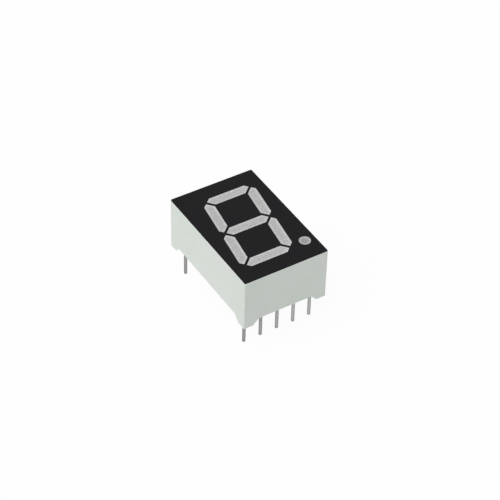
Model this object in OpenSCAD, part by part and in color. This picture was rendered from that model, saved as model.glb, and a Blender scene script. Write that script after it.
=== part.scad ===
// Single-digit seven segment LED display in a dual in-line package.
// A moulded reflector housing carries a printed face layer, seven cast resin bars and a
// round decimal point. Under each of them sits one LED chip with its bond wire, on a
// single-sided circuit board that holds ten round pins. Resin closes the back.
// Millimetres. The origin is the centre of the pin grid on the seating plane, which the
// four feet touch. +X points to the digit's right, +Y to its top and +Z out of its face.

/* [Package] */
// Height from the seating plane to the face
package_h = 8; // [7:0.1:10]
// Distance from the end pins' centres to the housing's sides
side_margin = 1.22; // [1.1:0.02:3]
// Distance from the pin rows' centres to the housing's ends
end_margin = 1.88; // [1.3:0.02:4]
// Thickness of the housing's side walls
wall = 0.6; // [0.5:0.05:0.7]
// Radius of the housing's vertical outer edges
edge_r = 0.15; // [0.05:0.05:0.3]
// Radius of the vertical corners inside the back of the housing
inner_r = 0.4; // [0.2:0.05:0.8]
// Width of the bevel round the housing's face
edge_bevel = 0.03; // [0.02:0.01:0.1]
// Thickness of the plastic left above the cored pockets
deck_t = 1; // [0.6:0.1:1.5]
// Plastic between a cored pocket and the bars round it, at the face
core_wall = 0.8; // [0.5:0.05:1.2]

/* [Feet] */
// Height of the corner feet below the side walls
foot_h = 0.9; // [0.5:0.05:1.4]
// Length of each foot's flat, from the corner
foot_l = 1.4; // [0.8:0.1:2.5]
// Length of the ramp from a foot up to the side wall's edge
foot_ramp = 0.9; // [0.3:0.1:1.5]

/* [Digit] */
// Width of the digit, before it leans
digit_w = 8; // [7:0.1:8.9]
// Height of the digit
digit_h = 14.14; // [12:0.02:18]
// Width of each bar
bar_w = 1.44; // [1.2:0.02:1.7]
// Gap between neighbouring bars
bar_gap = 0.34; // [0.2:0.02:0.5]
// Length of the corner cut at the digit's four corners
tip_cut = 1.3; // [0.8:0.05:1.6]
// Length of the corner cut where the side bars meet the middle bar
mid_cut = 0.8; // [0.6:0.05:1.1]
// How far the middle bar's mitres stand outside the bars' centre lines
mid_shift = 0.2; // [0:0.02:0.3]
// Lean of the digit, in degrees
slant = 8; // [5:0.5:12]
// Diameter of the decimal point
dot_d = 1.6; // [1.4:0.05:1.9]
// Gap between the digit and the decimal point
dot_gap = 0.9; // [0.5:0.05:0.95]
// How far the digit and its point stand to the left of the package's middle
digit_shift = 0.08; // [0:0.01:0.2]
// Thickness of the printed face layer
face_t = 0.12; // [0.05:0.01:0.15]

/* [Reflectors] */
// Straight depth of each reflector's mouth below the face
lip_h = 0.3; // [0.15:0.05:0.6]
// Straight height of each reflector's floor above the board
well_h = 0.6; // [0.3:0.1:1]
// Length of a bar's reflector at the board
well_l = 2.4; // [1.8:0.1:2.8]
// Width of a bar's reflector at the board
well_w = 0.8; // [0.6:0.05:1]
// Diameter of the decimal point's reflector at the board
dot_well_d = 1.15; // [1.1:0.05:1.4]

/* [Board] */
// Thickness of the circuit board
board_t = 1; // [0.6:0.1:1.6]
// Clearance between the board and the side walls
board_gap = 0.05; // [0.02:0.01:0.1]
// Thickness of the copper
copper_t = 0.035; // [0.018:0.001:0.07]
// Width of the copper tracks
track_w = 0.3; // [0.2:0.02:0.4]
// Width of the copper ring round each pin
pad_ring = 0.15; // [0.12:0.01:0.2]
// Side of the square pad under each chip
die_pad = 0.5; // [0.42:0.01:0.55]
// Side of the square pad at the end of each bond wire
bond_pad = 0.35; // [0.3:0.01:0.4]
// Depth of the back resin over the board
resin_cover = 0.9; // [0.5:0.05:1.5]
// How far the back resin stays below the side walls' edges
resin_recess = 0.35; // [0.1:0.05:0.6]
// How far the back resin climbs the pins and the side walls
resin_climb = 0.17; // [0.05:0.01:0.17]

/* [Chips and bond wires] */
// Width of an LED chip
chip_w = 0.3; // [0.2:0.02:0.4]
// Height of an LED chip
chip_h = 0.2; // [0.12:0.02:0.3]
// Step in from the chip's sides to its light-giving top
mesa_inset = 0.03; // [0.01:0.01:0.05]
// Height of the chip's light-giving top
mesa_h = 0.04; // [0.02:0.01:0.08]
// Distance from a chip to the far end of its bond wire
bond_span = 0.7; // [0.6:0.02:0.74]
// Diameter of a bond wire
wire_d = 0.03; // [0.02:0.005:0.05]
// Rise of a bond wire above its chip
loop_h = 0.2; // [0.1:0.05:0.4]
// Diameter of the ball that joins a bond wire to its chip
ball_d = 0.08; // [0.06:0.01:0.1]
// Height of that ball
ball_h = 0.03; // [0.02:0.005:0.05]

/* [Pins] */
// Distance between neighbouring pins in a row
pin_pitch = 2.54; // [2.3:0.02:3]
// Distance from the digit's top or bottom edge to the pin row beyond it
row_gap = 0.55; // [0.42:0.01:2]
// Diameter of a pin
pin_d = 0.45; // [0.4:0.01:0.6]
// Diameter of a pin's upper end, to which it widens from the seating plane up
head_d = 0.55; // [0.52:0.01:0.7]
// Length of a pin below the seating plane
pin_len = 4.4; // [2.5:0.1:6]
// Radius of the rounded edge at a pin's tip
pin_tip_r = 0.17; // [0.05:0.01:0.19]
// Height of a pin above the board
pin_stub = 0.45; // [0.4:0.05:0.6]
// Height of the solder round a pin
solder_h = 0.3; // [0.15:0.01:0.35]
// Clearance round the solder in the housing
solder_gap = 0.05; // [0.03:0.01:0.08]
// Clearance above the pins' ends in the housing
stub_gap = 0.3; // [0.1:0.05:0.5]

/* [Hidden] */
BARS = ["a", "b", "c", "d", "e", "f", "g"];
LAMPS = concat(BARS, ["dp"]);
TOP = 0;
MIDDLE = 6;
DOT = 7;
PINS = [1:10];
$fn = 48;

// How far a cutting solid runs past the face that it opens
past = 1;

// The pin grid and the housing round it
PINS_IN_ROW = 5;
row_pitch = digit_h + 2 * row_gap;
row_w = (PINS_IN_ROW - 1) * pin_pitch;
package_w = row_w + 2 * side_margin;
package_l = row_pitch + 2 * end_margin;

// Levels above the seating plane
face_z = package_h - face_t;
resin_z = foot_h + resin_recess;
board_z = resin_z + resin_cover;
board_top = board_z + board_t;
pad_top = board_top + copper_t;

// The digit, before it leans
half_w = digit_w / 2;
half_h = digit_h / 2;
bar_pitch = half_h - bar_w / 2;
mitre = bar_gap / sqrt(2);

// Pins and their pads
pin_r = pin_d / 2;
pin_top = board_top + pin_stub;
pad_r = shank_r(board_top) + pad_ring;

// Chips and wires
WIRE_SIDES = 6;
WIRE_STEPS = 9;
wire_r = wire_d / 2;
ARC_STEPS = 4;

// Colours
PLASTIC = [0.86, 0.88, 0.85];
INK = [0.14, 0.14, 0.145];
DIFFUSED = [0.72, 0.72, 0.72];
LAMINATE = [0.16, 0.42, 0.22];
COPPER = [0.80, 0.48, 0.30];
CRYSTAL = [0.55, 0.16, 0.12];
GOLD = [0.90, 0.72, 0.30];
TIN = [0.66, 0.66, 0.65];
SOLDER = [0.78, 0.79, 0.80];
MILKY = [0.84, 0.84, 0.80];

// ---- Shape of the digit ----

// A point of the upright digit, moved to where the lean and the digit's shift put it
function lean(p) = [p[0] + tan(slant) * p[1] - digit_shift, p[1]];

function flip(points, right, down) =
    [for (p = points) lean([right ? -p[0] : p[0], down ? -p[1] : p[1]])];

// The points at one end of a level bar, and the same points at its other end
function both_ends(end) =
    concat(end, [for (i = [len(end) - 1:-1:0]) [-end[i][0], end[i][1]]]);

function top_bar() = both_ends([
    [-half_w + bar_w + mitre, half_h - bar_w],
    [-half_w + (tip_cut + mitre) / 2, half_h - (tip_cut - mitre) / 2],
    [-half_w + tip_cut, half_h]
]);

function middle_bar() = both_ends([
    [-half_w + bar_w - mid_shift + mitre, -bar_w / 2],
    [-half_w + bar_w / 2 - mid_shift + mitre, 0],
    [-half_w + bar_w - mid_shift + mitre, bar_w / 2]
]);

function side_bar() = [
    [-half_w + bar_w, bar_w / 2 + mid_shift + mitre],
    [-half_w + bar_w, half_h - bar_w - mitre],
    [-half_w + (tip_cut - mitre) / 2, half_h - (tip_cut + mitre) / 2],
    [-half_w, half_h - tip_cut],
    [-half_w, mid_cut],
    [
        -half_w + (mid_cut + bar_w / 2 - mid_shift - mitre) / 2,
        (mid_cut - bar_w / 2 + mid_shift + mitre) / 2
    ]
];

// Each lamp, a to g and the dot: is it level, on the right, in the lower half
LEVEL = [true, false, false, true, false, false, true, false];
ON_RIGHT = [false, true, true, false, false, false, false, true];
IN_LOWER = [false, false, true, true, true, false, false, true];

function bar_outline(i) =
    i == MIDDLE ? flip(middle_bar(), false, false)
    : flip(LEVEL[i] ? top_bar() : side_bar(), ON_RIGHT[i], IN_LOWER[i]);

// Centre of each bar and of the decimal point in the upright digit
function lamp_centre(i) =
    i == DOT ? [half_w + dot_gap + dot_d / 2, -bar_pitch]
    : i == MIDDLE ? [0, 0]
    : LEVEL[i] ? [0, IN_LOWER[i] ? -bar_pitch : bar_pitch]
    : [
        (ON_RIGHT[i] ? 1 : -1) * (half_w - bar_w / 2),
        (IN_LOWER[i] ? -1 : 1) * bar_pitch / 2
    ];

function well_outline(i) =
    let (
        c = lamp_centre(i),
        x = (LEVEL[i] ? well_l : well_w) / 2,
        y = (LEVEL[i] ? well_w : well_l) / 2
    )
    [for (s = [[-1, -1], [1, -1], [1, 1], [-1, 1]]) lean(c + [s[0] * x, s[1] * y])];

// ---- Places on the board ----

// Pins 1 to 5 run left to right below the digit, and 6 to 10 right to left above it
function pin_xy(n) =
    n <= PINS_IN_ROW ? [(n - 1) * pin_pitch - row_w / 2, -row_pitch / 2]
    : [row_w / 2 - (n - PINS_IN_ROW - 1) * pin_pitch, row_pitch / 2];

// From each chip to the middle of its bond wire, in the upright digit: outwards along
// the bar, towards the pin that feeds it
function half_span(i) =
    LEVEL[i] ? [i == TOP ? bond_span / 2 : -bond_span / 2, 0]
    : [0, IN_LOWER[i] ? -bond_span / 2 : bond_span / 2];

function die_xy(i) = lean(lamp_centre(i) - half_span(i));
function bond_xy(i) = lean(lamp_centre(i) + half_span(i));

// The pin that feeds each lamp. Pins 3 and 8 are common to all of them.
LAMP_PIN = [7, 6, 4, 2, 1, 9, 10, 5];

// ---- Helpers ----

module rounded_rect(w, l, r) {
    square([w - 2 * r, l], center = true);
    square([w, l - 2 * r], center = true);
    for (x = [-1, 1], y = [-1, 1])
        translate([x * (w / 2 - r), y * (l / 2 - r)])
            circle(r);
}

// The space inside the side walls, seen from above
module inside_outline(gap) {
    rounded_rect(package_w - 2 * (wall + gap), package_l - 2 * (wall + gap), inner_r);
}

module at_pin(n, z) {
    translate([pin_xy(n)[0], pin_xy(n)[1], z])
        children();
}

// The reflector of one bar: a straight floor, sloping sides and a straight mouth
module bar_reflector(i, above) {
    hull() {
        translate([0, 0, board_top])
            linear_extrude(well_h)
                polygon(well_outline(i));
        translate([0, 0, package_h - lip_h])
            linear_extrude(lip_h + above)
                polygon(bar_outline(i));
    }
}

module dot_reflector(above) {
    centre = lean(lamp_centre(DOT));
    translate([centre[0], centre[1], 0])
        rotate_extrude()
            polygon([
                [0, board_top],
                [dot_well_d / 2, board_top],
                [dot_well_d / 2, board_top + well_h],
                [dot_d / 2, package_h - lip_h],
                [dot_d / 2, package_h + above],
                [0, package_h + above]
            ]);
}

// ---- Housing and face ----

// The opening between two feet, seen from the side
module foot_gap(length) {
    half = length / 2 - foot_l;
    polygon([
        [-half, -past],
        [half, -past],
        [half, 0],
        [half - foot_ramp, foot_h],
        [-half + foot_ramp, foot_h],
        [-half, 0]
    ]);
}

// The bevel of the two upper edges a given width apart, seen from the end
module bevel_cut(width) {
    for (side = [-1, 1])
        polygon([
            [side * (width / 2 - edge_bevel - past), face_z + past],
            [side * (width / 2 + past), face_z + past],
            [side * (width / 2 + past), face_z - edge_bevel - past]
        ]);
}

// A pocket inside one loop of the digit, which keeps the moulded walls even
module loop_core(down) {
    x = half_w - bar_w - core_wall;
    low = bar_w / 2 + core_wall;
    high = half_h - bar_w - core_wall;
    translate([0, 0, board_top])
        linear_extrude(face_z - deck_t - board_top)
            polygon(flip([[-x, low], [x, low], [x, high], [-x, high]], false, down));
}

// The trough that clears one row of soldered pin ends
module pin_trough(side) {
    reach = pad_r + solder_gap;
    translate([0, side * row_pitch / 2, board_top])
        linear_extrude(pin_stub + stub_gap)
            rounded_rect(row_w + 2 * reach, 2 * reach, reach / 2);
}

module housing() {
    color(PLASTIC)
        difference() {
            linear_extrude(face_z)
                rounded_rect(package_w, package_l, edge_r);
            translate([0, 0, -past])
                linear_extrude(pad_top + past)
                    inside_outline(0);
            rotate([90, 0, 90])
                linear_extrude(package_w + 2 * past, center = true) {
                    foot_gap(package_l);
                    bevel_cut(package_l);
                }
            rotate([90, 0, 0])
                linear_extrude(package_l + 2 * past, center = true) {
                    foot_gap(package_w);
                    bevel_cut(package_w);
                }
            for (i = [0:MIDDLE])
                bar_reflector(i, past);
            dot_reflector(past);
            for (down = [false, true])
                loop_core(down);
            for (side = [-1, 1])
                pin_trough(side);
        }
}

module face_layer() {
    color(INK)
        translate([0, 0, face_z])
            difference() {
                linear_extrude(face_t)
                    rounded_rect(package_w - 2 * edge_bevel, package_l - 2 * edge_bevel, edge_r);
                translate([0, 0, -past])
                    linear_extrude(face_t + 2 * past) {
                        for (i = [0:MIDDLE])
                            polygon(bar_outline(i));
                        translate(lean(lamp_centre(DOT)))
                            circle(d = dot_d);
                    }
            }
}

// ---- Cast resin ----

module segment(i) {
    color(DIFFUSED)
        difference() {
            bar_reflector(i, 0);
            copper_tracks();
            led_chip(i);
            bond_wire(i);
        }
}

module decimal_point() {
    color(DIFFUSED)
        difference() {
            dot_reflector(0);
            copper_tracks();
            led_chip(DOT);
            bond_wire(DOT);
        }
}

// The hollow curve of the resin that climbs a wall at its left, seen from the side
module climb_curve() {
    difference() {
        square(resin_climb);
        translate([resin_climb, 0])
            circle(resin_climb);
    }
}

module pin_collar() {
    start = shank_r(resin_z - resin_climb);
    rotate_extrude() {
        square([start, resin_climb]);
        translate([start, 0])
            climb_curve();
    }
}

// The resin that climbs the side walls: four straight runs and four round corners
module wall_collar() {
    half_x = package_w / 2 - wall;
    half_y = package_l / 2 - wall;
    for (turn = [0, 180])
        rotate(turn) {
            translate([-half_x, 0, 0])
                rotate([90, 0, 0])
                    linear_extrude(2 * (half_y - inner_r), center = true)
                        climb_curve();
            translate([0, -half_y, 0])
                rotate([90, 0, 90])
                    linear_extrude(2 * (half_x - inner_r), center = true)
                        climb_curve();
        }
    for (x = [-1, 1], y = [-1, 1])
        translate([x * (half_x - inner_r), y * (half_y - inner_r), 0])
            intersection() {
                rotate_extrude()
                    translate([inner_r, 0])
                        mirror([1, 0])
                            climb_curve();
                translate([(x - 1) * inner_r, (y - 1) * inner_r, 0])
                    cube([2 * inner_r, 2 * inner_r, resin_climb]);
            }
}

module back_resin() {
    color(MILKY)
        difference() {
            union() {
                translate([0, 0, resin_z])
                    linear_extrude(board_top - resin_z)
                        inside_outline(0);
                translate([0, 0, resin_z - resin_climb])
                    wall_collar();
                for (n = PINS)
                    at_pin(n, resin_z - resin_climb)
                        pin_collar();
            }
            circuit_board();
            for (n = PINS)
                pin(n);
        }
}

// ---- Circuit ----

module circuit_board() {
    color(LAMINATE)
        difference() {
            translate([0, 0, board_z])
                linear_extrude(board_t)
                    inside_outline(board_gap);
            for (n = PINS)
                pin(n);
        }
}

module track(from, to) {
    run = to - from;
    translate(from)
        rotate(atan2(run[1], run[0]))
            translate([0, -track_w / 2])
                square([norm(run), track_w]);
    for (end = [from, to])
        translate(end)
            circle(d = track_w);
}

module route(points) {
    for (i = [1:len(points) - 1])
        track(points[i - 1], points[i]);
}

// The copper that joins every chip to the two common pins
module common_net() {
    upper = die_xy(1)[1];
    lower = die_xy(2)[1];
    dot_x = die_xy(DOT)[0];
    route([pin_xy(8), die_xy(TOP), die_xy(MIDDLE), die_xy(3), pin_xy(3)]);
    route([[die_xy(5)[0], upper], die_xy(1)]);
    route([[die_xy(4)[0], lower], [dot_x, lower], die_xy(DOT)]);
}

module lamp_net(i) {
    from = bond_xy(i);
    to = pin_xy(LAMP_PIN[i]);
    route(i == MIDDLE ? [from, [to[0], from[1]], to] : [from, to]);
}

module copper_tracks() {
    color(COPPER)
        difference() {
            translate([0, 0, board_top])
                linear_extrude(copper_t) {
                    common_net();
                    for (i = [0:DOT]) {
                        lamp_net(i);
                        translate(die_xy(i))
                            square(die_pad, center = true);
                        translate(bond_xy(i))
                            square(bond_pad, center = true);
                    }
                    for (n = PINS)
                        translate(pin_xy(n))
                            circle(pad_r);
                }
            for (n = PINS)
                pin(n);
        }
}

module led_chip(i) {
    top_w = chip_w - 2 * mesa_inset;
    color(CRYSTAL)
        translate([die_xy(i)[0], die_xy(i)[1], pad_top]) {
            translate([-chip_w / 2, -chip_w / 2, 0])
                cube([chip_w, chip_w, chip_h - mesa_h]);
            translate([-top_w / 2, -top_w / 2, 0])
                cube([top_w, top_w, chip_h]);
        }
}

function bezier(p, t) =
    pow(1 - t, 3) * p[0] + 3 * pow(1 - t, 2) * t * p[1] + 3 * (1 - t) * pow(t, 2) * p[2]
    + pow(t, 3) * p[3];

function bezier_way(p, t) =
    let (
        way = pow(1 - t, 2) * (p[1] - p[0]) + 2 * (1 - t) * t * (p[2] - p[1])
            + pow(t, 2) * (p[3] - p[2])
    )
    way / norm(way);

// The wire's centre line: up out of the ball, over, and down to lie flat on its pad
function wire_line(span) =
    let (
        ball_z = chip_h + ball_h / 2,
        flat_z = wire_r * cos(180 / WIRE_SIDES)
    )
    [[0, ball_z], [0, ball_z + 2 * loop_h], [span * 2 / 3, flat_z], [span, flat_z]];

// One ring of the wire's skin, square to the centre line
function wire_ring(at, way) =
    [
        for (k = [0:WIRE_SIDES - 1])
            let (a = 360 * k / WIRE_SIDES)
            [
                at[0] - way[1] * wire_r * sin(a),
                wire_r * cos(a),
                at[1] + way[0] * wire_r * sin(a)
            ]
    ];

module bond_wire(i) {
    from = die_xy(i);
    run = bond_xy(i) - from;
    line = wire_line(norm(run));
    points = [
        for (s = [0:WIRE_STEPS])
            each wire_ring(bezier(line, s / WIRE_STEPS), bezier_way(line, s / WIRE_STEPS))
    ];
    last = WIRE_SIDES * WIRE_STEPS;
    skin = [
        for (s = [0:WIRE_STEPS - 1], k = [0:WIRE_SIDES - 1])
            let (
                a = s * WIRE_SIDES + k,
                b = s * WIRE_SIDES + (k + 1) % WIRE_SIDES
            )
            each [[a, a + WIRE_SIDES, b], [b, a + WIRE_SIDES, b + WIRE_SIDES]]
    ];
    near_end = [[for (k = [0:WIRE_SIDES - 1]) k]];
    far_end = [[for (k = [WIRE_SIDES - 1:-1:0]) last + k]];
    color(GOLD)
        translate([from[0], from[1], pad_top])
            rotate(atan2(run[1], run[0])) {
                polyhedron(points, concat(near_end, skin, far_end));
                translate([0, 0, chip_h])
                    cylinder(h = ball_h, d = ball_d);
            }
}

// ---- Pins ----

// The shank's radius at a height above the seating plane
function shank_r(z) = pin_r + (head_d / 2 - pin_r) * z / pin_top;

// A straight leg below the seating plane, and above it a shank that wedges in the board
module pin(n) {
    tip_z = pin_tip_r - pin_len;
    core_r = pin_r - pin_tip_r;
    color(TIN)
        at_pin(n, 0)
            rotate_extrude() {
                polygon([
                    [0, -pin_len], [core_r, -pin_len], [core_r, tip_z], [pin_r, tip_z],
                    [pin_r, 0], [shank_r(pin_top), pin_top], [0, pin_top]
                ]);
                intersection() {
                    translate([core_r, tip_z])
                        circle(pin_tip_r);
                    translate([core_r, -pin_len])
                        square(pin_tip_r);
                }
            }
}

// Solder that climbs a pin from its copper ring, with a hollow curve
module solder_joint(n) {
    top_r = shank_r(pad_top + solder_h);
    climb = [
        for (s = [0:ARC_STEPS])
            let (a = 90 * s / ARC_STEPS)
            [top_r + (pad_r - top_r) * (1 - sin(a)), solder_h * (1 - cos(a))]
    ];
    color(SOLDER)
        at_pin(n, pad_top)
            rotate_extrude()
                polygon(concat([[shank_r(pad_top), 0]], climb));
}

// ---- Nodes ----

housing();
face_layer();
for (i = [0:MIDDLE])
    segment(i);
decimal_point();
circuit_board();
copper_tracks();
for (i = [0:DOT])
    led_chip(i);
for (i = [0:DOT])
    bond_wire(i);
for (n = PINS)
    pin(n);
for (n = PINS)
    solder_joint(n);
back_resin();
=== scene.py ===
"""Finishes, moulded surfaces and studio of a seven segment display."""

import math

import bmesh
import bpy
from bpy.props import (
    FloatProperty,
    FloatVectorProperty,
    IntProperty,
    PointerProperty,
)
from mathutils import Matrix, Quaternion, Vector, noise


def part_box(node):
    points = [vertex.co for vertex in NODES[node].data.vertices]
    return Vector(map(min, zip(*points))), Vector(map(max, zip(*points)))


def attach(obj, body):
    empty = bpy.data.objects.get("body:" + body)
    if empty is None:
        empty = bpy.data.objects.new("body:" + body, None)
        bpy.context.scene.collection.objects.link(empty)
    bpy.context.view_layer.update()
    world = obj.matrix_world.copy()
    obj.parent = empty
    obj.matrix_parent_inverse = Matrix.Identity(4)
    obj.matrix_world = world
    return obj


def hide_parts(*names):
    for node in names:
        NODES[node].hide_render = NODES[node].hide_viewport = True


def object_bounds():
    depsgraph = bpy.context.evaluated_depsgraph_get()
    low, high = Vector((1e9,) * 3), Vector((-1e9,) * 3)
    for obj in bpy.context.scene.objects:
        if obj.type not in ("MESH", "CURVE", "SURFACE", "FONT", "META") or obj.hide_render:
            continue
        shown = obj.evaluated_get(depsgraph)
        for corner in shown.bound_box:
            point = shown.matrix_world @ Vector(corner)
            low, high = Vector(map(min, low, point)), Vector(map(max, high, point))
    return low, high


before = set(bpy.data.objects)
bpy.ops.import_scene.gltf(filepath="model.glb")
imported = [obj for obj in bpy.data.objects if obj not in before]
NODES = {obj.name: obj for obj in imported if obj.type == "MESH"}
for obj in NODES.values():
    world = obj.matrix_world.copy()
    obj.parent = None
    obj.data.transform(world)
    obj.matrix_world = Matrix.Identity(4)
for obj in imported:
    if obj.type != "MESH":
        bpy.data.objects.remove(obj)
cad_low, cad_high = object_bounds()

bl_info = {
    "name": "Seven Segment Display",
    "version": (1, 0, 0),
    "blender": (4, 5, 0),
    "location": "3D View > Sidebar > Display",
    "description": "Finishes the pieces of a seven segment display and sets its studio",
    "category": "Object",
}

MM = 0.001
BARS = ["segment_" + letter for letter in "abcdefg"]
LAMPS = [*"abcdefg", "dp"]
PINS = ["pin_" + str(n) for n in range(1, 11)]


# ---- What a user can change ----


def colour(name, description, default):
    """A colour setting."""
    return FloatVectorProperty(
        name=name,
        description=description,
        default=default,
        subtype="COLOR",
        size=3,
        min=0.0,
        max=1.0,
    )


def length(name, description, default, low=0.0, high=0.01):
    """A length setting, in metres."""
    return FloatProperty(
        name=name,
        description=description,
        default=default,
        min=low,
        max=high,
        precision=6,
        unit="LENGTH",
    )


def angle(name, description, degrees):
    """An angle setting, given in degrees."""
    return FloatProperty(
        name=name,
        description=description,
        default=math.radians(degrees),
        subtype="ANGLE",
    )


def level(name, description, default, high=1.0):
    """A setting that counts up from nought."""
    return FloatProperty(
        name=name, description=description, default=default, min=0.0, max=high
    )


class DisplayColours(bpy.types.PropertyGroup):
    """Colours of the display's finishes"""

    plastic: colour(
        "Plastic", "Moulded white plastic of the housing", (0.650, 0.715, 0.655)
    )
    plastic_drift: colour(
        "Plastic Drift", "Warmer white the plastic drifts to", (0.695, 0.712, 0.690)
    )
    ink: colour("Ink", "Black film on the face", (0.0068, 0.0067, 0.0069))
    ink_drift: colour(
        "Ink Drift", "Shade that the film drifts to", (0.0082, 0.0082, 0.0100)
    )
    lens: colour("Lens", "Diffused resin of the bars", (0.496, 0.499, 0.492))
    # Painted light: the rim colours are paler, standing in for light that the white
    # reflector walls scatter back through the resin
    lens_rim_light: colour("Lens Rim", "Resin close to a bar's edge", (0.580, 0.583, 0.578))
    dot: colour("Dot", "Diffused resin of the decimal point", (0.340, 0.340, 0.350))
    dot_rim_light: colour("Dot Rim", "Resin close to the point's edge", (0.480, 0.478, 0.487))
    tin: colour("Tin", "Tin coat of the pins", (0.43, 0.43, 0.425))
    solder: colour("Solder", "Solder round the pin ends", (0.70, 0.71, 0.72))
    back_resin: colour("Back Resin", "Milky resin in the back", (0.760, 0.750, 0.695))
    laminate: colour("Laminate", "Coated laminate of the board", (0.020, 0.130, 0.050))
    copper: colour("Copper", "Copper tracks", (0.72, 0.36, 0.20))
    crystal: colour("Crystal", "Crystal of the LED chips", (0.30, 0.035, 0.020))
    gold: colour("Gold", "Gold of the bond wires", (0.85, 0.60, 0.20))


class DisplaySizes(bpy.types.PropertyGroup):
    """Sizes of the display's fine forms"""

    lens_sag: length("Lens Sag", "How far a bar's resin sinks", 0.05 * MM)
    dot_sag: length("Dot Sag", "How far the point's resin sinks", 0.08 * MM)
    # The pale rim is painted light from the reflector walls
    rim_width: length("Rim Width", "Width of the pale rim round a bar", 0.45 * MM)
    tin_relief: length("Tin Relief", "Unevenness of the tin coat on a pin", 0.008 * MM)
    pin_sides: IntProperty(
        name="Pin Sides",
        description="Number of flats round a pin",
        default=48,
        min=12,
        max=96,
    )
    pin_ring: length(
        "Pin Ring", "Distance between the rings along a pin", 0.12 * MM, 0.04 * MM
    )


class DisplayStudio(bpy.types.PropertyGroup):
    """Camera, lamps and floor round the display"""

    azimuth: angle("Azimuth", "Turn of the camera round the display", -32.582)
    elevation: angle("Elevation", "Height of the camera above the horizon", 42.029)
    roll: angle("Roll", "Turn of the camera about its own axis", 1.566)
    distance: length(
        "Distance", "Distance of the camera from its aim", 246.116 * MM, 0.05, 2.0
    )
    aim: FloatVectorProperty(
        name="Aim",
        description="Point that the camera looks at",
        default=(0.000001, -0.000601, 0.004),
        subtype="XYZ",
        unit="LENGTH",
        precision=6,
    )
    lens_mm: FloatProperty(
        name="Focal Length",
        description="Focal length in millimetres on a 36 mm sensor",
        default=134.15,
        min=20.0,
        max=300.0,
    )
    key_strength: level(
        "Key Strength", "Irradiance of the key lamp, in W per square metre", 1.75, 6.0
    )
    key_softness: angle("Key Softness", "Angular width of the key lamp", 55.0)
    key_from: FloatVectorProperty(
        name="Key From",
        description="Direction from which the key lamp shines",
        default=(-0.54, -0.07, 0.84),
        subtype="DIRECTION",
    )
    ambient: level("Ambient", "Light of the surroundings on the display", 0.45)
    floor_size: length("Floor Size", "Side of the floor", 3.0, 0.1, 10.0)
    floor_colour: colour("Floor", "Colour of the floor", (0.95, 0.95, 0.95))
    floor_glow: level(
        "Floor Glow", "Share of plain white in the floor, as the eye meets it", 0.94
    )


SETTINGS = {
    "display_colours": DisplayColours,
    "display_sizes": DisplaySizes,
    "display_studio": DisplayStudio,
}


# ---- Node trees ----

# Numbers of the Mix node's sockets for colours, whose names others share
MIX_SHARE, MIX_FIRST, MIX_SECOND, MIX_RESULT = 0, 6, 7, 2


def put(tree, kind, values=None, **settings):
    """Adds a node, with the values or links of its inputs by name or number."""
    node = tree.nodes.new(kind)
    for name, value in settings.items():
        setattr(node, name, value)
    for key, value in (values or {}).items():
        if isinstance(value, bpy.types.NodeSocket):
            tree.links.new(value, node.inputs[key])
        else:
            node.inputs[key].default_value = value
    return node


def calc(tree, operation, *values):
    """A Math node's output."""
    node = put(tree, "ShaderNodeMath", dict(enumerate(values)), operation=operation)
    return node.outputs[0]


def vector_calc(tree, operation, first, second):
    """A Vector Math node's output; SCALE takes a number as its second value."""
    key = "Scale" if operation == "SCALE" else 1
    node = put(
        tree, "ShaderNodeVectorMath", {0: first, key: second}, operation=operation
    )
    return node.outputs["Value" if operation == "DOT_PRODUCT" else "Vector"]


def spot_in_space(tree):
    """The place of the point that is shaded, in the object's metres."""
    return put(tree, "ShaderNodeTexCoord").outputs["Object"]


def split(tree, vector):
    """A vector's three parts."""
    return put(tree, "ShaderNodeSeparateXYZ", {0: vector}).outputs


def blend_colours(tree, share, first, second):
    """The output of a colour mix."""
    values = {MIX_SHARE: share, MIX_FIRST: first, MIX_SECOND: second}
    node = put(tree, "ShaderNodeMix", values, data_type="RGBA")
    return node.outputs[MIX_RESULT]


def remap(tree, value, from_low, from_high, to_low=0.0, to_high=1.0, smooth=False):
    """A Map Range node's output."""
    node = put(
        tree,
        "ShaderNodeMapRange",
        dict(enumerate((value, from_low, from_high, to_low, to_high))),
        interpolation_type="SMOOTHSTEP" if smooth else "LINEAR",
    )
    return node.outputs[0]


def noise_field(tree, place, detail, roughness=0.5):
    """A Noise Texture's value, for a place counted in lumps."""
    values = {"Vector": place, "Scale": 1.0, "Detail": detail, "Roughness": roughness}
    return put(tree, "ShaderNodeTexNoise", values).outputs[0]


def opaque(rgb, share=1.0):
    """A share of a colour setting, as the four numbers of a colour socket."""
    return (*(share * c for c in rgb), 1.0)


# The stretch of a noise field that an effect spreads from none to all
GRAIN_SPAN = (0.25, 0.75)
PATCH_SPAN = (0.35, 0.65)
BREAK_SPAN = (0.35, 0.6)
LINE_SPAN = (0.3, 0.7)
MARK_SPAN = (0.58, 0.72)

TURN_SPAN = (0.01, 0.12)  # how far a rounded normal turns from where wear begins
BEVEL_RAYS = 6
UNBROKEN = 0.25  # least share of the wear where it is broken up


def place_in(tree, size, seed=None):
    """Object coordinates counted in units of a size, moved on by a seed."""
    per = calc(tree, "DIVIDE", 1.0, size)
    grown = vector_calc(tree, "SCALE", spot_in_space(tree), per)
    return grown if seed is None else vector_calc(tree, "ADD", grown, seed)


def fine_grain(tree, given):
    """Spark-eroded or matt grain, as a height and as a shade about zero."""
    place = place_in(tree, given["Grain Size"], given["Seed"])
    field = noise_field(tree, place, 3.0, given["Softness"])
    height = remap(tree, field, *GRAIN_SPAN)
    return {"Height": height, "Shade": calc(tree, "SUBTRACT", height, 0.5)}


def mottling(tree, given):
    """Slow drift of a colour towards a second one."""
    place = place_in(tree, given["Patch Size"], given["Seed"])
    field = noise_field(tree, place, 4.0, 0.55)
    patch = remap(tree, field, *PATCH_SPAN, smooth=True)
    mask = calc(tree, "MULTIPLY", patch, given["Amount"])
    tone = blend_colours(tree, mask, given["Colour"], given["Drift Colour"])
    return {"Colour": tone, "Mask": mask}


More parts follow.
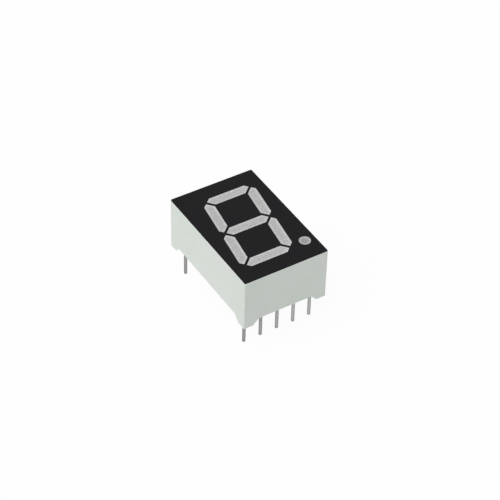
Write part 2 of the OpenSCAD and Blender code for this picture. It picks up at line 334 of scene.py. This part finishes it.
def edge_wear_and_highlight(tree, given):
    """Corners and edges, broken up along their length: rubbed wear on the ink, and a
    painted highlight on the plastic.
    """
    values = {"Radius": given["Width"]}
    rounded = put(tree, "ShaderNodeBevel", values, samples=BEVEL_RAYS).outputs[0]
    plain = put(tree, "ShaderNodeNewGeometry").outputs["Normal"]
    along = vector_calc(tree, "DOT_PRODUCT", rounded, plain)
    turn = calc(tree, "SUBTRACT", 1.0, along)
    edge = remap(tree, turn, *TURN_SPAN, smooth=True)
    field = noise_field(tree, place_in(tree, given["Break Size"]), 3.0)
    broken = remap(tree, field, *BREAK_SPAN, UNBROKEN, 1.0)
    edge_share = calc(tree, "MULTIPLY", edge, broken)
    return {"Mask": calc(tree, "MULTIPLY", edge_share, given["Amount"])}


def fine_lines(tree, given):
    """Drawing or drag marks that run along the display's height."""
    sizes = (given["Line Width"], given["Line Width"], given["Line Length"])
    parts = [
        calc(tree, "DIVIDE", part, size)
        for part, size in zip(split(tree, spot_in_space(tree)), sizes)
    ]
    place = put(tree, "ShaderNodeCombineXYZ", dict(enumerate(parts))).outputs[0]
    moved = vector_calc(tree, "ADD", place, given["Seed"])
    field = noise_field(tree, moved, 2.0, 0.6)
    return {
        "Height": remap(tree, field, *LINE_SPAN),
        "Mask": remap(tree, field, *MARK_SPAN, smooth=True),
    }


def specks(tree, given):
    """Sparse round specks of dust or small bubbles."""
    place = place_in(tree, given["Spacing"], given["Seed"])
    cells = put(tree, "ShaderNodeTexVoronoi", {"Vector": place, "Scale": 1.0})
    reach = calc(tree, "DIVIDE", given["Speck Size"], given["Spacing"])
    inner = calc(tree, "MULTIPLY", reach, 0.5)
    near = remap(tree, cells.outputs["Distance"], inner, reach, 1.0, 0.0, smooth=True)
    pick = put(tree, "ShaderNodeSeparateColor", {0: cells.outputs["Color"]})
    chosen = calc(tree, "LESS_THAN", pick.outputs[0], given["Share"])
    return {"Mask": calc(tree, "MULTIPLY", near, chosen)}


# Each effect's nodes and the inputs of its group, with their defaults
EFFECTS = {
    "Fine Grain": (
        fine_grain,
        {"Grain Size": 0.1 * MM, "Softness": 0.5, "Seed": 0.0},
    ),
    "Mottling": (
        mottling,
        {
            "Colour": (0.5, 0.5, 0.5, 1.0),
            "Drift Colour": (0.5, 0.5, 0.5, 1.0),
            "Patch Size": 3 * MM,
            "Amount": 0.5,
            "Seed": 0.0,
        },
    ),
    "Edge Wear And Highlight": (
        edge_wear_and_highlight,
        {"Width": 0.1 * MM, "Break Size": 0.6 * MM, "Amount": 0.5},
    ),
    "Fine Lines": (
        fine_lines,
        {"Line Width": 0.03 * MM, "Line Length": 2 * MM, "Seed": 0.0},
    ),
    "Specks": (
        specks,
        {"Speck Size": 0.04 * MM, "Spacing": 0.6 * MM, "Share": 0.3, "Seed": 0.0},
    ),
}


def make_effect(name):
    """Builds an effect's shader node group, with its named inputs and outputs."""
    build, inputs = EFFECTS[name]
    tree = bpy.data.node_groups.new(name, "ShaderNodeTree")
    for key, default in inputs.items():
        kind = "NodeSocketColor" if isinstance(default, tuple) else "NodeSocketFloat"
        socket = tree.interface.new_socket(key, in_out="INPUT", socket_type=kind)
        socket.default_value = default
    results = build(tree, put(tree, "NodeGroupInput").outputs)
    for key, value in results.items():
        kind = "NodeSocketColor" if value.type == "RGBA" else "NodeSocketFloat"
        tree.interface.new_socket(key, in_out="OUTPUT", socket_type=kind)
    put(tree, "NodeGroupOutput", results)
    return tree


def effect(tree, name, **values):
    """Places an effect, with its inputs given as words joined by underscores."""
    group = bpy.data.node_groups.get(name) or make_effect(name)
    named = {key.replace("_", " ").title(): value for key, value in values.items()}
    return put(tree, "ShaderNodeGroup", named, node_tree=group).outputs


def new_material(name, **fixed):
    """A material with one Principled shader, whose plain values it sets."""
    made = bpy.data.materials.new(name)
    made.use_nodes = True
    tree = made.node_tree
    shader = tree.nodes["Principled BSDF"]
    for key, value in fixed.items():
        shader.inputs[key.replace("_", " ")].default_value = value
    return made, tree, shader


def lighten(tree, tone, *parts):
    """A colour made lighter and darker by shares of shades about zero."""
    for shade, share in parts:
        factor = calc(tree, "MULTIPLY_ADD", shade, share, 1.0)
        tone = vector_calc(tree, "SCALE", tone, factor)
    return tone


def stain(tree, tone, mask, share, over):
    """A colour with a second one over it, where a mask lets it, up to a share."""
    return blend_colours(tree, calc(tree, "MULTIPLY", mask, share), tone, over)


def roughen(tree, rough, *parts):
    """A roughness with shares of masks or shades added to it."""
    for mask, share in parts:
        rough = calc(tree, "MULTIPLY_ADD", mask, share, rough)
    return rough


def mottled(tree, base, drift_to, **values):
    """Mottling of a colour towards a second colour, or towards a share of itself."""
    if isinstance(drift_to, float):
        drift_to = opaque(base, drift_to)[:3]
    return effect(
        tree, "Mottling", colour=opaque(base), drift_colour=opaque(drift_to), **values
    )


def finish(tree, shader, tone, rough, *layers):
    """Links a colour, a roughness and a stack of height layers to the shader.

    Each layer has its height and its depth in metres.
    """
    tree.links.new(tone, shader.inputs["Base Color"])
    tree.links.new(rough, shader.inputs["Roughness"])
    below = {}
    for height, depth in layers:
        values = {"Strength": 1.0, "Height": height, "Distance": depth, **below}
        below = {"Normal": put(tree, "ShaderNodeBump", values).outputs[0]}
    tree.links.new(below["Normal"], shader.inputs["Normal"])


# ---- Finishes ----

RESIN_IOR = 1.5
GLOSSY_RESIN_IOR = 1.52
CRYSTAL_IOR = 2.4
INK_SPECULAR = 0.09
LENS_SPECULAR = 0.35

# Colours of what wear, dust and bubbles bring out, and of the painted highlight on the
# plastic's edges
EDGE_HIGHLIGHT_PLASTIC = (0.95, 0.955, 0.94, 1.0)
DUST_ON_PLASTIC = (0.34, 0.33, 0.30, 1.0)
RUBBED_INK = (0.05, 0.05, 0.052, 1.0)
DUST_ON_INK = (0.16, 0.16, 0.16, 1.0)
BUBBLE_IN_LENS = (0.62, 0.62, 0.62, 1.0)
BUBBLE_IN_BACK = (0.80, 0.79, 0.74, 1.0)
DUST_ON_BACK = (0.36, 0.33, 0.28, 1.0)

HIGHLIGHT_BAND = (0.5 * MM, 0.2 * MM)  # how far below the top the painted edge highlight begins to grow, and is full
DARK_END = 0.5 * MM  # length over which a pin grows darker towards its lower end
THREAD = 2.0 / MM / math.tau  # scale of the wave texture for the laminate's cloth
PIT_SHARE = 0.45  # share of a metal's colour that its pits have
POWDER_MEAN = 0.12  # mean of the powder's mask in the lenses
DARK_FROM = 0.1  # value of the darkened mitre layer from which a lens is darkened
DARK_ON_LENS = 0.5  # share of the film's colour that a lens takes on its darkened mitres


def white_plastic(colours):
    """Moulded white plastic with an eroded grain and drag marks, its edges painted near
    white as a painted highlight that is strongest along the top.
    """
    made, tree, shader = new_material("White Plastic", IOR=RESIN_IOR)
    drift = mottled(
        tree,
        colours.plastic,
        colours.plastic_drift,
        patch_size=9 * MM,
        amount=0.6,
        seed=3.7,
    )
    grain = effect(tree, "Fine Grain", grain_size=0.09 * MM, softness=0.6)
    cloud = effect(tree, "Fine Grain", grain_size=1.3 * MM, softness=0.5, seed=8.1)
    marks = effect(tree, "Fine Lines", line_width=0.16 * MM, line_length=5 * MM)
    # Painted highlight: an edge mask, strongest near the top, paints the plastic's edges
    # near white
    edge = effect(tree, "Edge Wear And Highlight", width=0.13 * MM, break_size=0.9 * MM, amount=0.9)
    height = split(tree, spot_in_space(tree))[2]
    begin, full = (cad_high.z - below for below in HIGHLIGHT_BAND)
    top_highlight_share = remap(tree, height, begin, full, 0.35, 1.0)
    painted_edge_highlight = calc(tree, "MULTIPLY", edge["Mask"], top_highlight_share)
    dust = effect(
        tree, "Specks", speck_size=0.05 * MM, spacing=1.1 * MM, share=0.22, seed=2.0
    )
    tone = lighten(
        tree, drift["Colour"], (grain["Shade"], 0.035), (cloud["Shade"], 0.03)
    )
    # Painted highlight on the plastic's edges
    tone = blend_colours(tree, painted_edge_highlight, tone, EDGE_HIGHLIGHT_PLASTIC)
    tone = stain(tree, tone, dust["Mask"], 0.35, DUST_ON_PLASTIC)
    rough = roughen(
        tree, 0.5, (grain["Shade"], 0.16), (marks["Mask"], -0.08), (painted_edge_highlight, -0.18)
    )
    layers = (
        (cloud["Height"], 0.004 * MM),
        (marks["Height"], 0.0015 * MM),
        (grain["Height"], 0.006 * MM),
    )
    finish(tree, shader, tone, rough, *layers)
    return made


def black_ink(colours):
    """Matt black film with a printed grain, dust and slightly paler edges."""
    made, tree, shader = new_material(
        "Black Ink", IOR=RESIN_IOR, Specular_IOR_Level=INK_SPECULAR
    )
    drift = mottled(
        tree, colours.ink, colours.ink_drift, patch_size=2.6 * MM, amount=0.8, seed=5.3
    )
    grain = effect(tree, "Fine Grain", grain_size=0.11 * MM, softness=0.65, seed=1.9)
    edge = effect(tree, "Edge Wear And Highlight", width=0.06 * MM, break_size=0.5 * MM, amount=0.35)
    dust = effect(
        tree, "Specks", speck_size=0.04 * MM, spacing=0.9 * MM, share=0.2, seed=6.4
    )
    tone = lighten(tree, drift["Colour"], (grain["Shade"], 1.5))
    tone = blend_colours(tree, edge["Mask"], tone, RUBBED_INK)
    tone = stain(tree, tone, dust["Mask"], 0.25, DUST_ON_INK)
    rough = roughen(tree, 0.55, (grain["Shade"], 0.2), (drift["Mask"], 0.1))
    finish(tree, shader, tone, rough, (grain["Height"], 0.004 * MM))
    return made


def diffused_resin(name, body, rim, ink, seed):
    """Frosted casting resin with clouding and fine bubbles, painted paler near its edges
    as painted light that the white reflector walls scatter back.
    """
    made, tree, shader = new_material(
        name, IOR=RESIN_IOR, Specular_IOR_Level=LENS_SPECULAR
    )
    painted_rim_light, reach = (
        put(tree, "ShaderNodeAttribute", attribute_name=layer).outputs["Fac"]
        for layer in ("rim", "darkened_mitre")
    )
    darkened_mitre = calc(tree, "GREATER_THAN", reach, DARK_FROM)
    cloud = effect(tree, "Fine Grain", grain_size=0.3 * MM, softness=0.6, seed=seed)
    grain = effect(tree, "Fine Grain", grain_size=0.14 * MM, softness=0.7, seed=seed)
    bubbles = effect(
        tree, "Specks", speck_size=0.05 * MM, spacing=0.45 * MM, share=0.35, seed=seed
    )
    powder = effect(
        tree, "Specks", speck_size=0.035 * MM, spacing=0.11 * MM, share=0.5, seed=seed
    )
    drift = mottled(tree, body, 0.93, patch_size=0.9 * MM, amount=0.7, seed=seed)
    # Painted light: resin near the edge is painted in the paler rim colour
    tone = blend_colours(tree, painted_rim_light, drift["Colour"], opaque(rim))
    grains = calc(tree, "SUBTRACT", powder["Mask"], POWDER_MEAN)
    tone = lighten(
        tree, tone, (cloud["Shade"], 0.3), (grain["Shade"], 0.6), (grains, 0.16)
    )
    tone = stain(tree, tone, bubbles["Mask"], 0.22, BUBBLE_IN_LENS)
    # Along mitred edges that face another bar, the resin is darkened to half the film's
    # colour
    tone = blend_colours(tree, darkened_mitre, tone, opaque(ink, DARK_ON_LENS))
    rough = roughen(
        tree, 0.42, (cloud["Shade"], 0.15), (bubbles["Mask"], 0.15), (darkened_mitre, 0.3)
    )
    layers = (
        (cloud["Height"], 0.005 * MM),
        (grain["Height"], 0.0015 * MM),
        (bubbles["Mask"], -0.004 * MM),
    )
    finish(tree, shader, tone, rough, *layers)
    return made


def row_light_and_dark_ends(tree, tone, row, tip):
    """A pin's colour, painted lighter and darker along its row as painted light and shade,
    and darker towards its lower end.

    row holds the shares of the colour at the row's two ends, and tip the pin's own.
    """
    x, _, z = split(tree, spot_in_space(tree))
    # Painted light and shade: the colour grows from the row's low x end to its high x end
    along = remap(tree, x, cad_low.x, cad_high.x, *row)
    end = remap(tree, z, cad_low.z, cad_low.z + DARK_END, tip, 1.0, smooth=True)
    return vector_calc(tree, "SCALE", tone, calc(tree, "MULTIPLY", along, end))


def metal(
    name, base, dark, lines, patch, rough_at, relief, seed=0.0, rim=0.5, ends=None
):
    """Drawn or etched metal: lines, dull patches and small pits.

    dark is the share of the base colour in a dull patch, lines the width and length of
    a line, rim the tint of the gloss seen at a slant, and ends what row_light_and_dark_ends takes.
    """
    made, tree, shader = new_material(
        name, Metallic=1.0, Specular_Tint=(rim, rim, rim, 1.0)
    )
    drift = mottled(tree, base, dark, patch_size=patch, amount=0.8, seed=seed)
    drawn = effect(
        tree, "Fine Lines", line_width=lines[0], line_length=lines[1], seed=seed
    )
    pits = effect(
        tree,
        "Specks",
        speck_size=0.35 * patch,
        spacing=1.6 * patch,
        share=0.3,
        seed=seed,
    )
    shade = calc(tree, "SUBTRACT", drawn["Height"], 0.5)
    tone = lighten(tree, drift["Colour"], (shade, 0.12))
    tone = stain(tree, tone, pits["Mask"], 0.3, opaque(base, PIT_SHARE))
    if ends:
        tone = row_light_and_dark_ends(tree, tone, **ends)
    rough = roughen(tree, rough_at, (drift["Mask"], 0.18), (shade, 0.12))
    layers = (drawn["Height"], relief), (pits["Mask"], -relief)
    finish(tree, shader, tone, rough, *layers)
    return made


def back_resin(colours):
    """Milky casting resin with a glossy, slightly wavy skin, clouds and bubbles."""
    made, tree, shader = new_material("Back Resin", IOR=GLOSSY_RESIN_IOR)
    drift = mottled(
        tree, colours.back_resin, 0.93, patch_size=1.8 * MM, amount=0.7, seed=4.4
    )
    swell = effect(tree, "Fine Grain", grain_size=2.6 * MM, softness=0.3, seed=9.2)
    bubbles = effect(
        tree, "Specks", speck_size=0.11 * MM, spacing=1.3 * MM, share=0.4, seed=1.2
    )
    dust = effect(
        tree, "Specks", speck_size=0.04 * MM, spacing=0.7 * MM, share=0.25, seed=7.7
    )
    tone = lighten(tree, drift["Colour"], (swell["Shade"], 0.06))
    tone = stain(tree, tone, bubbles["Mask"], 0.3, BUBBLE_IN_BACK)
    tone = stain(tree, tone, dust["Mask"], 0.4, DUST_ON_BACK)
    rough = roughen(tree, 0.1, (drift["Mask"], 0.1), (dust["Mask"], 0.3))
    layers = (swell["Height"], 0.05 * MM), (bubbles["Mask"], 0.012 * MM)
    finish(tree, shader, tone, rough, *layers)
    return made


def laminate(colours):
    """Green coated laminate, with the weave of its glass cloth showing through."""
    made, tree, shader = new_material("Board Laminate", IOR=GLOSSY_RESIN_IOR)
    here = spot_in_space(tree)
    threads = [
        put(
            tree,
            "ShaderNodeTexWave",
            {"Vector": here, "Scale": THREAD, "Distortion": 0.6},
            bands_direction=way,
            wave_profile="SIN",
        ).outputs[1]
        for way in "XY"
    ]
    cloth = calc(tree, "MULTIPLY", *threads)
    drift = mottled(
        tree, colours.laminate, 0.75, patch_size=1.5 * MM, amount=0.7, seed=2.6
    )
    grain = effect(tree, "Fine Grain", grain_size=0.12 * MM, softness=0.5, seed=3.3)
    weave = calc(tree, "SUBTRACT", cloth, 0.5)
    tone = lighten(tree, drift["Colour"], (weave, 0.35), (grain["Shade"], 0.1))
    rough = roughen(tree, 0.35, (grain["Shade"], 0.1))
    layers = (cloth, 0.006 * MM), (grain["Height"], 0.002 * MM)
    finish(tree, shader, tone, rough, *layers)
    return made


def led_crystal(colours):
    """Dark red crystal with slow clouds and the marks of the saw."""
    made, tree, shader = new_material("LED Crystal", IOR=CRYSTAL_IOR)
    drift = mottled(tree, colours.crystal, 0.7, patch_size=0.08 * MM, amount=0.6)
    sawn = effect(tree, "Fine Lines", line_width=0.012 * MM, line_length=0.2 * MM)
    rough = roughen(tree, 0.18, (sawn["Height"], 0.15))
    finish(tree, shader, drift["Colour"], rough, (sawn["Height"], 0.001 * MM))
    return made


def dress(names, material):
    """Gives CAD nodes a finish, and leaves their shapes alone."""
    for name in names:
        for place in NODES[name].material_slots:
            place.material = material


def new_object(name, data):
    """Puts a mesh, a lamp or a camera into the scene."""
    made = bpy.data.objects.new(name, data)
    bpy.context.scene.collection.objects.link(made)
    return made


def stand_in(name, mesh, node, material):
    """Shows a finished mesh in a CAD node's place."""
    mesh.materials.append(material)
    piece = new_object(name, mesh)
    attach(piece, "root")
    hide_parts(node)


# ---- Lenses ----

FLAT = 0.99  # cosine of its tilt above which a face counts as lying flat
MERGE = 0.0005 * MM  # distance below which a solid's points are one
TOP_DEPTH = 0.001 * MM  # how far below its highest point a body's top may lie
LENS_SHARP = math.radians(25)

# Length of the mitred edges that face another bar, where the resin is darkened towards the
# film's colour
MITRE_EDGE = (0.9 * MM, 2 * MM)

# A ring's share of the rim's width, its share of the sag, and how much painted rim light
# it takes
LENS_RINGS = [
    (0.06, 0.10, 1.0),
    (0.25, 0.38, 0.9),
    (0.50, 0.68, 0.65),
    (0.80, 0.90, 0.2),
    (1.00, 1.00, 0.0),
]


def ink_mitres(layer, ring, inner):
    """Marks the outer sides of the outermost ring's quads that lie on a mitre."""
    for quad in ring:
        a, b = [v for v in quad.verts if v not in inner]
        on_mitre = MITRE_EDGE[0] < (a.co - b.co).length < MITRE_EDGE[1]
        for corner in quad.loops:
            corner[layer] = float(on_mitre and corner.vert not in inner)


def sunk_lens(node, sag, width):
    """A copy of a cast resin body whose top sinks from its edge towards its middle."""
    body = bmesh.new()
    body.from_mesh(NODES[node].data)
    bmesh.ops.remove_doubles(body, verts=body.verts, dist=MERGE)
    body.normal_update()
    high = max(v.co.z for v in body.verts)
    top = [
        f
        for f in body.faces
        if f.normal.z > FLAT and f.calc_center_median().z > high - TOP_DEPTH
    ]
    face = bmesh.ops.dissolve_faces(body, faces=top, use_verts=False)["region"][0]
    # The rim layer holds each point's share of the painted rim light
    rim = body.verts.layers.float.new("rim")
    darkened_mitre = body.loops.layers.float.new("darkened_mitre")
    for v in body.verts:
        v[rim] = 1.0
    reached, sunk = 0.0, 0.0
    for share, depth, edge in LENS_RINGS:
        ring = bmesh.ops.inset_region(
            body,
            faces=[face],
            thickness=(share - reached) * width,
            depth=-(depth - sunk) * sag,
            use_even_offset=True,
            use_boundary=True,
        )["faces"]
        if not reached:
            ink_mitres(darkened_mitre, ring, set(face.verts))
        for v in face.verts:
            v[rim] = edge
        reached, sunk = share, depth
    mesh = bpy.data.meshes.new(node)
    body.to_mesh(mesh)
    body.free()
    mesh.set_sharp_from_angle(angle=LENS_SHARP)
    return mesh


def cast(names, material, sag, width):
    """Shows sunk lenses in the places of cast resin bodies."""
    for name in names:
        mesh = sunk_lens(name, sag, width)
        stand_in(name + "_lens", mesh, name, material)


# ---- Pins ----

AXIS_REACH = 0.01 * MM  # distance from the axis up to which a point lies on it
HEIGHT_DIGITS = 7  # decimals of a metre to which a pin's heights are told apart
TIN_LUMP = 0.45 * MM  # size of the tin coat's lumps
TIN_FADE = 0.2 * MM  # radius below which the coat's unevenness dies away
PIN_SHARP = math.radians(50)


def pin_profile(node, ring):
    """A pin's middle, and its radius at each height, with extra rings between."""
    points = [v.co for v in NODES[node].data.vertices]
    low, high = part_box(node)
    centre = (low + high) / 2
    read = {}
    for p in points:
        r = math.hypot(p.x - centre.x, p.y - centre.y)
        if r > AXIS_REACH:
            z = round(p.z, HEIGHT_DIGITS)
            read[z] = max(read.get(z, 0.0), r)
    levels = sorted(read.items())
    profile = [levels[0]]
    for (z0, r0), (z1, r1) in zip(levels, levels[1:]):
        steps = max(1, math.ceil((z1 - z0) / ring))
        for i in range(1, steps + 1):
            t = i / steps
            profile.append((z0 + (z1 - z0) * t, r0 + (r1 - r0) * t))
    return centre, profile


def tinned_pin(node, sides, ring, relief):
    """A round pin whose tin coat is slightly uneven, never thicker than its solid."""
    centre, profile = pin_profile(node, ring)
    verts, faces = [], []
    for z, r in profile:
        for k in range(sides):
            turn = math.tau * k / sides
            way = Vector((math.cos(turn), math.sin(turn), 0))
            spot = Vector((centre.x, centre.y, z)) + way * r
            low_tin = 0.5 + 0.5 * noise.noise(spot / TIN_LUMP)
            verts.append(spot - way * relief * min(1.0, r / TIN_FADE) * low_tin)
    for i in range(len(profile) - 1):
        for k in range(sides):
            a, b = i * sides + k, i * sides + (k + 1) % sides
            faces.append((a, b, b + sides, a + sides))
    faces.append(tuple(reversed(range(sides))))
    last = (len(profile) - 1) * sides
    faces.append(tuple(range(last, last + sides)))
    mesh = bpy.data.meshes.new(node)
    mesh.from_pydata(verts, [], faces)
    mesh.set_sharp_from_angle(angle=PIN_SHARP)
    return mesh


# ---- Operators ----


class HousingOperator(bpy.types.Operator):
    """Gives the housing its moulded white plastic"""

    bl_idname = "display.housing"
    bl_label = "Housing"

    def execute(self, context):
        dress(["housing"], white_plastic(context.scene.display_colours))
        return {"FINISHED"}


class FaceOperator(bpy.types.Operator):
    """Gives the face its black film"""

    bl_idname = "display.face"
    bl_label = "Face"

    def execute(self, context):
        dress(["face_layer"], black_ink(context.scene.display_colours))
        return {"FINISHED"}


class BarsOperator(bpy.types.Operator):
    """Casts the seven bars, whose resin sinks a little between its edges"""

    bl_idname = "display.bars"
    bl_label = "Bars"

    def execute(self, context):
        colours, sizes = context.scene.display_colours, context.scene.display_sizes
        resin = diffused_resin(
            "Bar Resin", colours.lens, colours.lens_rim_light, colours.ink, seed=4.9
        )
        cast(BARS, resin, sizes.lens_sag, sizes.rim_width)
        return {"FINISHED"}


class DotOperator(bpy.types.Operator):
    """Casts the decimal point"""

    bl_idname = "display.dot"
    bl_label = "Decimal Point"

    def execute(self, context):
        colours, sizes = context.scene.display_colours, context.scene.display_sizes
        resin = diffused_resin(
            "Dot Resin", colours.dot, colours.dot_rim_light, colours.ink, seed=7.3
        )
        cast(["decimal_point"], resin, sizes.dot_sag, sizes.rim_width)
        return {"FINISHED"}


class PinsOperator(bpy.types.Operator):
    """Makes the ten tinned pins"""

    bl_idname = "display.pins"
    bl_label = "Pins"

    def execute(self, context):
        colours, sizes = context.scene.display_colours, context.scene.display_sizes
        tin = metal(
            "Tinned Pin",
            colours.tin,
            dark=0.84,
            lines=(0.035 * MM, 1.8 * MM),
            patch=0.35 * MM,
            rough_at=0.12,
            relief=0.0012 * MM,
            rim=0.0,
            # Painted light and shade along the row, and darker lower ends
            ends={"row": (0.8, 1.14), "tip": 0.75},
        )
        for name in PINS:
            mesh = tinned_pin(name, sizes.pin_sides, sizes.pin_ring, sizes.tin_relief)
            stand_in(name + "_tinned", mesh, name, tin)
        return {"FINISHED"}


class BackResinOperator(bpy.types.Operator):
    """Gives the back its milky casting resin"""

    bl_idname = "display.back_resin"
    bl_label = "Back Resin"

    def execute(self, context):
        dress(["back_resin"], back_resin(context.scene.display_colours))
        return {"FINISHED"}


class BoardOperator(bpy.types.Operator):
    """Gives the circuit board and its tracks their finishes"""

    bl_idname = "display.board"
    bl_label = "Circuit Board"

    def execute(self, context):
        colours = context.scene.display_colours
        dress(["circuit_board"], laminate(colours))
        etched = metal(
            "Copper",
            colours.copper,
            dark=0.7,
            lines=(0.05 * MM, 0.08 * MM),
            patch=0.6 * MM,
            rough_at=0.28,
            relief=0.001 * MM,
            seed=5.0,
        )
        dress(["copper_tracks"], etched)
        return {"FINISHED"}


class LampsOperator(bpy.types.Operator):
    """Gives the LED chips and their bond wires their finishes"""

    bl_idname = "display.lamps"
    bl_label = "Chips and Bond Wires"

    def execute(self, context):
        colours = context.scene.display_colours
        dress(["led_chip_" + lamp for lamp in LAMPS], led_crystal(colours))
        gold = metal(
            "Gold",
            colours.gold,
            dark=0.85,
            lines=(0.006 * MM, 0.2 * MM),
            patch=0.05 * MM,
            rough_at=0.18,
            relief=0.0003 * MM,
            seed=1.0,
        )
        dress(["bond_wire_" + lamp for lamp in LAMPS], gold)
        return {"FINISHED"}


class SolderOperator(bpy.types.Operator):
    """Gives the soldered joints their finish"""

    bl_idname = "display.solder"
    bl_label = "Solder"

    def execute(self, context):
        solder = metal(
            "Solder",
            context.scene.display_colours.solder,
            dark=0.8,
            lines=(0.06 * MM, 0.06 * MM),
            patch=0.25 * MM,
            rough_at=0.2,
            relief=0.002 * MM,
            seed=3.0,
        )
        dress([name.replace("pin", "solder_joint") for name in PINS], solder)
        return {"FINISHED"}


# ---- Stage ----

FLOOR_GAP = 0.02 * MM  # how far the floor lies below the pins' tips
SENSOR = 36.0  # width of the camera's sensor, in millimetres
CLIP = (0.01, 20.0)  # nearest and furthest distance that the camera takes in


def unlit_rays(tree):
    """A mask of the rays that meet plain white: the eye's, gloss's and glass's."""
    path = put(tree, "ShaderNodeLightPath").outputs
    plain = calc(tree, "MAXIMUM", path["Is Camera Ray"], path["Is Glossy Ray"])
    return calc(tree, "MAXIMUM", plain, path["Is Transmission Ray"])


def white_floor(studio, height):
    """A plain floor whose underside lets the camera through."""
    half = studio.floor_size / 2
    mesh = bpy.data.meshes.new("floor")
    mesh.from_pydata(
        [(x * half, y * half, height) for x, y in ((-1, -1), (1, -1), (1, 1), (-1, 1))],
        [],
        [(0, 1, 2, 3)],
    )
    floor = new_object("floor", mesh)
    made, tree, shader = new_material("Floor")
    tree.nodes.remove(shader)
    matt = put(
        tree, "ShaderNodeBsdfDiffuse", {"Color": opaque(studio.floor_colour)}
    ).outputs[0]
    glow = put(tree, "ShaderNodeEmission", {"Strength": 1.0}).outputs[0]
    share = calc(tree, "MULTIPLY", unlit_rays(tree), studio.floor_glow)
    lit = put(tree, "ShaderNodeMixShader", {0: share, 1: matt, 2: glow}).outputs[0]
    clear = put(tree, "ShaderNodeBsdfTransparent").outputs[0]
    under = put(tree, "ShaderNodeNewGeometry").outputs["Backfacing"]
    both = put(tree, "ShaderNodeMixShader", {0: under, 1: lit, 2: clear}).outputs[0]
    tree.links.new(both, tree.nodes["Material Output"].inputs["Surface"])
    mesh.materials.append(made)


def white_surroundings(scene, ambient):
    """A white world, full to the eye, in gloss and glass, and softer as light."""
    world = bpy.data.worlds.new("Surroundings")
    world.use_nodes = True
    tree = world.node_tree
    strength = remap(tree, unlit_rays(tree), 0.0, 1.0, ambient, 1.0)
    sky = tree.nodes["Background"]
    sky.inputs["Color"].default_value = (1.0, 1.0, 1.0, 1.0)
    tree.links.new(strength, sky.inputs["Strength"])
    scene.world = world


def key_lamp(studio):
    """The lamp that gives the display its light and dark sides."""
    key = bpy.data.lights.new("key", "SUN")
    key.energy = studio.key_strength
    key.angle = studio.key_softness
    lamp = new_object("key", key)
    shine = -Vector(studio.key_from).normalized()
    lamp.rotation_mode = "QUATERNION"
    lamp.rotation_quaternion = shine.to_track_quat("-Z", "Y")


def main_camera(studio):
    """A camera that looks at the aim from its turn, height and distance."""
    a, e = studio.azimuth, studio.elevation
    back = Vector((math.sin(a) * math.cos(e), -math.cos(a) * math.cos(e), math.sin(e)))
    view = bpy.data.cameras.new("camera")
    view.lens = studio.lens_mm
    view.sensor_width = SENSOR
    view.clip_start, view.clip_end = CLIP
    camera = new_object("camera", view)
    camera.location = Vector(studio.aim) + back * studio.distance
    camera.rotation_mode = "QUATERNION"
    upright = (-back).to_track_quat("-Z", "Y")
    camera.rotation_quaternion = upright @ Quaternion((0, 0, 1), studio.roll)
    return camera


class StageOperator(bpy.types.Operator):
    """Sets the floor, the surroundings, the key lamp and the camera"""

    bl_idname = "display.stage"
    bl_label = "Stage"

    def execute(self, context):
        scene = context.scene
        studio = scene.display_studio
        white_floor(studio, cad_low.z - FLOOR_GAP)
        white_surroundings(scene, studio.ambient)
        key_lamp(studio)
        scene.camera = main_camera(studio)
        scene.view_settings.view_transform = "Standard"
        return {"FINISHED"}


STEPS = [
    HousingOperator,
    FaceOperator,
    BarsOperator,
    DotOperator,
    PinsOperator,
    BackResinOperator,
    BoardOperator,
    LampsOperator,
    SolderOperator,
    StageOperator,
]


class DisplayPanel(bpy.types.Panel):
    """Lists the display's settings and steps"""

    bl_idname = "VIEW3D_PT_display"
    bl_label = "Seven Segment Display"
    bl_space_type = "VIEW_3D"
    bl_region_type = "UI"
    bl_category = "Display"

    def draw(self, context):
        for name, group in SETTINGS.items():
            box = self.layout.box()
            box.label(text=group.__doc__)
            for setting in group.__annotations__:
                box.prop(getattr(context.scene, name), setting)
        for step in STEPS:
            self.layout.operator(step.bl_idname)


CLASSES = [*SETTINGS.values(), *STEPS, DisplayPanel]


def register():
    """Adds the settings, the operators and the panel."""
    for group in CLASSES:
        bpy.utils.register_class(group)
    for name, group in SETTINGS.items():
        setattr(bpy.types.Scene, name, PointerProperty(type=group))


def unregister():
    """Takes them out again."""
    for name in SETTINGS:
        delattr(bpy.types.Scene, name)
    for group in CLASSES:
        bpy.utils.unregister_class(group)


def main():
    """Builds the display and its studio."""
    register()
    for step in STEPS:
        getattr(bpy.ops.display, step.bl_idname.split(".")[1])()


if __name__ == "__main__":
    main()
